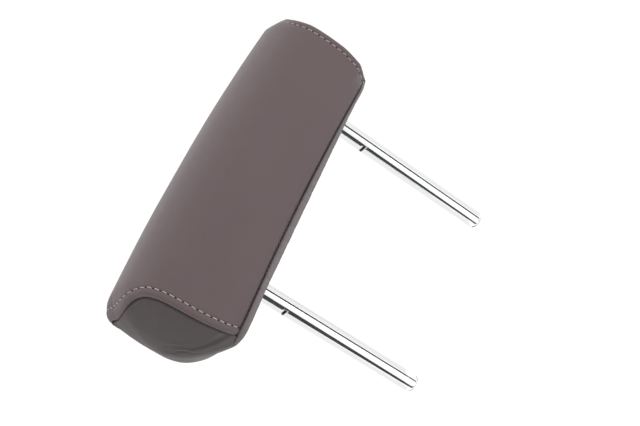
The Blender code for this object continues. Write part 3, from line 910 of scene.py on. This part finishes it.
def build_wadding(side, name):
    """The soft filling behind an end panel."""
    count = len(rim_line)
    inset = GUSSET_ROWS[-1][1] - 4.2
    sink = 1 + 0.35 * ease((150 - rim_z) / 8)
    rings = [ring[:3] for ring in gusset_rings(inset, 24, DOME_X - 2.8, -1.8, sink)]
    back_x = rim_x - 8.2
    rows = [(*rings[0][:2], back_x), rings[0]]
    for y, z, x in rings[1:]:
        rows.append((y, z, x - 0.35 * (1 + smooth_noise(np.stack([x, y, z], 1), 16.0, 51 + side))))
    verts = shaped_rings(side, rows)
    verts += [dome_centre(side, rings[-1][2].mean()), dome_centre(side, back_x.mean())]
    faces = grid_faces(len(rows), count, wrap_cols=True)
    last = (len(rows) - 1) * count
    faces += [(last + j, last + (j + 1) % count, len(verts) - 2) for j in range(count)]
    faces += [((j + 1) % count, j, len(verts) - 1) for j in range(count)]
    closed_piece("wadding_" + name, verts, faces, WADDING_MAT, "wadding", "end_pad_" + name, fill=0.6)


for side, name in SIDES:
    build_gusset(side, name)
    build_wadding(side, name)


# ------------------------------ piping at the foot of the front

# Radius of the folded strip along X: it was folded by hand, fullest near the middle and thin
# towards the +X end
FOLD_AT = [-110, -95, -75, -58, -35, 0, 25, 46, 66, 84, 110]
FOLD_RADIUS = [2.5, 2.35, 2.35, 2.5, 2.6, 2.5, 2.2, 1.85, 1.45, 1.1, 1.0]


def build_piping():
    """A folded leather strip sewn under the front panel, gathered in fine cross wrinkles."""
    generator = np.random.default_rng(7)
    half, middle = PIPING_HALF, PIPING_MIDDLE
    xs = middle + np.r_[
        half * np.sin(np.linspace(-math.pi / 2, -0.9, 14)),
        np.linspace(half * math.sin(-0.9), half * math.sin(0.9), 300)[1:-1],
        half * np.sin(np.linspace(0.9, math.pi / 2, 14)),
    ]
    wrinkles = 120
    centres = generator.uniform(-half, half, wrinkles)
    widths = generator.uniform(0.5, 1.4, wrinkles)
    depths = generator.uniform(0.05, 0.20, wrinkles)
    leans = generator.uniform(-0.5, 0.5, wrinkles)
    verts = []
    sides = 28
    for x in xs:
        room = min(1.0, (max(0.0, half - abs(x - middle)) / 5.0)) ** 0.5
        size = 0.02 + 0.98 * room
        fold = np.interp(x, FOLD_AT, FOLD_RADIUS)
        turned_back = 5.2 * ease((-x - 106) / 11)
        for k in range(sides):
            a = 2 * math.pi * k / sides
            dy, dz = math.cos(a), math.sin(a)
            facing = max(0.0, -dy) ** 0.5 if dy < 0 else 0.0
            gap = x - centres - leans * dz * 2.5
            crease = float(np.sum(depths * np.exp(-((gap / widths) ** 2))))
            radius = fold * size - crease * (0.4 + 0.6 * facing) * room * fold / 2.5
            y = -17.5 + turned_back + dy * radius
            z = 142.5 - fold + dz * radius
            verts.append(tuple(float(v) for v in shaped(x, y, z)))
    faces = grid_faces(len(xs), sides, wrap_cols=True) + end_caps(len(xs), sides)
    closed_piece("piping_front", verts, faces, WELT_MAT, "leather", "welt_front")


build_piping()


def build_foot_seam():
    """The seam that holds the piping: short dark stitches, sunk in the fold above it."""
    generator = random.Random(5)
    verts, faces = [], []
    pitch = 3.3
    for i in range(int(2 * 107 / pitch)):
        x0 = -107.5 + i * pitch + generator.uniform(-0.12, 0.12)
        path, ups = [], []
        for k in range(7):
            t = k / 6
            y = -18.55 - 0.20 * math.sin(math.pi * t)
            z = 143.35 + 0.75 * t
            path.append([float(v) for v in shaped(x0 + 1.9 * t, y, z)])
            ups.append((0.0, -1.0, 0.0))
        tube(verts, faces, path, [0.18] + [0.36] * 5 + [0.18], 7, 0.8, ups)
    closed_piece("foot_seam", verts, faces, SEAM_THREAD_MAT, "leather")


build_foot_seam()


# ------------------------------ underside


def build_underside():
    """The bottom panel: pinched at the grommets, full between, its edges turned up into the seams."""
    holes = [(-POST_X, 0.0), (POST_X, 0.0)]
    front_edge = [(-15.9, 145.6), (-15.9, 143.6), (-15.7, 141.8), (-14.9, 140.6), (-13.2, 140.2)]
    rest = [(-10.0, 140.4), (5.0, 140.6), (20.0, 140.9), (24.2, 141.2), (25.4, 142.4)]
    line, _ = catmull(front_edge + rest, 0.8)
    y, z_line = line.T
    reach = np.interp(y, [-16, 26], [112.0, 117.4])
    inner = np.clip((y + 15) / 4, 0, 1) * np.clip((25 - y) / 4, 0, 1)
    rows = []
    us = np.r_[np.linspace(-1, -0.93, 12), np.linspace(-0.93, 0.93, 260)[1:-1], np.linspace(0.93, 1, 12)]
    for u in us:
        x = u * reach
        near_end = np.clip((np.abs(x) - (reach - 2.2)) / 2.2, 0, 1)
        z = z_line + 2.6 * near_end**2
        full = 0.75 * np.exp(-((x / 46.0) ** 2)) + 0.5 * np.exp(-(((np.abs(x) - 96) / 9.0) ** 2))
        lump = 0.14 * smooth_noise(np.stack([x, y, z], 1), 26.0, 61)
        z = z - (full * (1 - near_end) + lump) * inner
        for hx, hy in holes:
            r = np.hypot(x - hx, y - hy)
            z = z - 0.25 * np.exp(-(((r - 13.5) / 2.2) ** 2)) + 0.35 * np.exp(-((r / 11.0) ** 4))
        rows.append(np.stack(shaped(x, y, z), 1))
    verts = np.array(rows).reshape(-1, 3)
    # the underside's darker leather is painted shade
    panel = new_object("underside_panel", verts, grid_faces(len(us), len(line)), SHADED_UNDER_MAT)
    if panel.data.polygons[len(panel.data.polygons) // 2].normal.z > 0:
        panel.data.flip_normals()
    bm = bmesh.new()
    bm.from_mesh(panel.data)
    for hx, hy in holes:
        holed = [v for v in bm.verts if math.hypot(v.co.x / MM - hx, v.co.y / MM - hy) < 9.2]
        bmesh.ops.delete(bm, geom=holed, context="VERTS")
    bm.to_mesh(panel.data)
    bm.free()
    thicken(panel, LEATHER)
    panel.data.shade_smooth()
    finish_piece(panel, "leather", "bottom_panel")


# Section of a tape: depth, and height above its lower face
TAPE_SECTION = [(13.4, 0.0), (13.25, 0.4), (13.4, 0.8), (15.0, 0.82), (17.0, 0.78)]
TAPE_SECTION += [(19.0, 0.82), (20.2, 0.8), (20.35, 0.4), (20.2, 0.0), (17.0, 0.03)]


def build_tape(name, z0, mat, node):
    """One of the two tapes that close the cover, laid a little unevenly along the hem."""
    verts = []
    xs = np.linspace(-TAPE_HALF, TAPE_HALF, 140)
    for x in xs:
        sway = 0.18 * math.sin(x / 17.0) + 0.1 * math.sin(x / 6.1 + 1)
        for y, z in TAPE_SECTION:
            verts.append(tuple(float(v) for v in shaped(x, y + sway, z0 + z)))
    sides = len(TAPE_SECTION)
    faces = grid_faces(len(xs), sides, wrap_cols=True) + end_caps(len(xs), sides)
    closed_piece(name, verts, faces, mat, "hook_and_loop", node)


def build_hem_stitch():
    """The seam that holds the rear hem's turned edge: small dark stitches 4 mm from the fold."""
    verts, faces = [], []
    pitch, half = 3.6, 108
    for i in range(int(2 * half / pitch)):
        x0 = -half + i * pitch
        path = []
        for k in range(9):
            t = k / 8
            x = x0 + 0.4 + (pitch - 0.8) * t
            z = 136.86 - (-0.45 + 0.72 * math.sin(math.pi * t) ** 0.45)
            path.append([float(v) for v in shaped(x, 16.6 + 0.1 * (2 * t - 1), z)])
        tube(verts, faces, path, [0.3] * 9, 7, 0.8)
    closed_piece("hem_stitch", verts, faces, HEM_THREAD_MAT, "leather")


build_underside()
build_hem_stitch()
build_tape("hook_tape_strip", 138.75, HOOK_MAT, "hook_strip")
build_tape("loop_tape_strip", 139.85, LOOP_MAT, "loop_strip")


# ------------------------------ posts and grommets


def lathe(name, profile, x, mat, segments):
    """A solid turned about the vertical line at x. profile is (radius, height) along its outline,
    which starts and ends on the axis, or else closes on itself."""
    verts, faces = [], []
    ring_of = []
    for r, z in profile:
        count = segments if r > 1e-6 else 1
        ring_of.append(list(range(len(verts), len(verts) + count)))
        for k in range(count):
            a = 2 * math.pi * k / segments
            verts.append((x + r * math.cos(a), r * math.sin(a), z))
    closed = profile[0][0] > 1e-6
    pairs = list(zip(ring_of, ring_of[1:])) + ([(ring_of[-1], ring_of[0])] if closed else [])
    for a, b in pairs:
        for k in range(segments):
            m = (k + 1) % segments
            if len(a) == 1:
                faces.append((a[0], b[k], b[m]))
            elif len(b) == 1:
                faces.append((a[k], a[m], b[0]))
            else:
                faces.append((a[k], a[m], b[m], b[k]))
    obj = new_object(name, verts, faces, mat)
    outward(obj)
    return obj


def build_post(side, name):
    """A chromed tube with a rounded, closed tip and a latch notch across its -X side."""
    x = side * POST_X
    bore, top, radius, chamfer = POST_BORE, POST_TOP, POST_RADIUS, 0.4
    profile = [(0.0, 8.0), (bore, 8.0), (bore, top), (bore + chamfer, top)]
    profile += [(radius - chamfer, top), (radius, top - chamfer)]
    profile += [(radius, z) for z in (150.0, 116.0, 111.0, 60.0, 12.0)]
    for i in range(13):
        a = math.radians(90 * i / 12)
        profile.append((radius - TIP_ROUND * (1 - math.cos(a)), TIP_ROUND * (1 - math.sin(a))))
    profile.append((0.0, 0.0))
    post = lathe("post_%s_chrome" % name, profile, x, CHROME_MAT, 128)
    cutter = bpy.data.meshes.new("notch")
    bm = bmesh.new()
    made = bmesh.ops.create_cube(bm, size=1.0)
    wide = 5.4  # of the cutter, most of it outside the post
    bmesh.ops.scale(bm, verts=made["verts"], vec=(wide * MM, 16.0 * MM, NOTCH_HEIGHT * MM))
    notch_x = x - radius + NOTCH_DEPTH - wide / 2
    bmesh.ops.translate(bm, verts=made["verts"], vec=(notch_x * MM, 0.0, NOTCH_Z * MM))
    bm.to_mesh(cutter)
    bm.free()
    # the notch's faces get the dark bare steel, darkened further as painted shade
    cutter.materials.append(NOTCH_STEEL_AND_SHADE_MAT)
    cutter = bpy.data.objects.new("notch", cutter)
    bpy.context.scene.collection.objects.link(cutter)
    cut = post.modifiers.new("Notch", "BOOLEAN")
    cut.operation, cut.solver, cut.object = "DIFFERENCE", "EXACT", cutter
    cut.material_mode = "TRANSFER"
    bevel = post.modifiers.new("Edges", "BEVEL")
    bevel.width, bevel.segments, bevel.limit_method = 0.22 * MM, 2, "ANGLE"
    bevel.angle_limit = math.radians(50)
    modified(post)
    post.data.shade_smooth()
    post.data.set_sharp_from_angle(angle=math.radians(42))
    bpy.data.objects.remove(cutter)
    finish_piece(post, "chrome", "post_" + name)


def build_grommet(side, name):
    """The plastic eyelet round a post: a flange under the cover and a barrel up into the foam."""
    x = side * POST_X
    drop = ARCH_DROP * (x / ARCH_AT) ** 2
    profile = [(7.4, 144.9), (7.4, 139.2), (7.65, 138.75), (8.2, 138.5), (9.6, 138.55), (10.3, 138.85)]
    profile += [(10.5, 139.4), (10.4, 139.95), (9.9, 140.1), (8.5, 140.15), (8.5, 144.5), (8.1, 145.0)]
    grommet = lathe("grommet_" + name, [(r, z - drop) for r, z in profile], x, PLASTIC_MAT, 96)
    grommet.data.set_sharp_from_angle(angle=math.radians(45))
    finish_piece(grommet, "black_plastic", "eyelet_" + name)


for side, name in SIDES:
    build_post(side, name)
    build_grommet(side, name)


# ------------------------------ foam halves and the hidden steelwork


def build_foam(name, node, seed):
    """The moulded foam: the CAD half, its flat faces broken up into the uneven skin of real foam."""
    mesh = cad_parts[node].data.copy()
    mesh.name = name
    core = bpy.data.objects.new(name, mesh)
    bpy.context.scene.collection.objects.link(core)
    mesh.materials.clear()
    mesh.materials.append(FOAM_MAT)
    bm = bmesh.new()
    bm.from_mesh(mesh)
    bmesh.ops.remove_doubles(bm, verts=bm.verts, dist=0.02 * MM)
    for _ in range(3):
        long_edges = [e for e in bm.edges if e.calc_length() > 7 * MM]
        if not long_edges:
            break
        bmesh.ops.subdivide_edges(bm, edges=long_edges, cuts=1)
        bmesh.ops.triangulate(bm, faces=[f for f in bm.faces if len(f.verts) > 4])
    bm.normal_update()
    places = np.array([v.co for v in bm.verts]) / MM
    sink = np.maximum(0.0, 0.12 * (1 + smooth_noise(places, 9.0, seed)))
    x, y, z = places.T
    # squeezed in at the lower front corners, at the top corners and at the ends by the cover
    corner = 6.4 * ease((np.abs(x) - 92) / 14) * ease((158 - z) / 14) * ease((2 - y) / 14)
    corner += 3.4 * ease((148 - z) / 5) * ease((-9 - y) / 7)
    top = 7.0 * ease((np.abs(x) - 104) / 22) * ease((z - 186) / 26)
    short = 1 - 0.13 * ease((np.abs(x) - 55) / 60)
    for vert, depth, back, down, keep in zip(bm.verts, sink, corner, top, short):
        vert.co -= vert.normal * float(depth) * MM
        vert.co.x *= float(keep)
        vert.co.y += float(back) * MM
        vert.co.z -= float(down) * MM
    bm.to_mesh(mesh)
    bm.free()
    finish_piece(core, "foam", node, fill=0.95)


build_foam("foam_core_front", "foam_front", 71)
build_foam("foam_core_rear", "foam_rear", 72)

# The steel plate, saddles and fasteners keep their CAD shapes
for node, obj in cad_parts.items():
    if not obj.hide_render:
        mat = ZINC_MAT if node.split("_")[0] in ("bolt", "nut", "washer") else STEEL_MAT
        obj.data.materials.clear()
        obj.data.materials.append(mat)
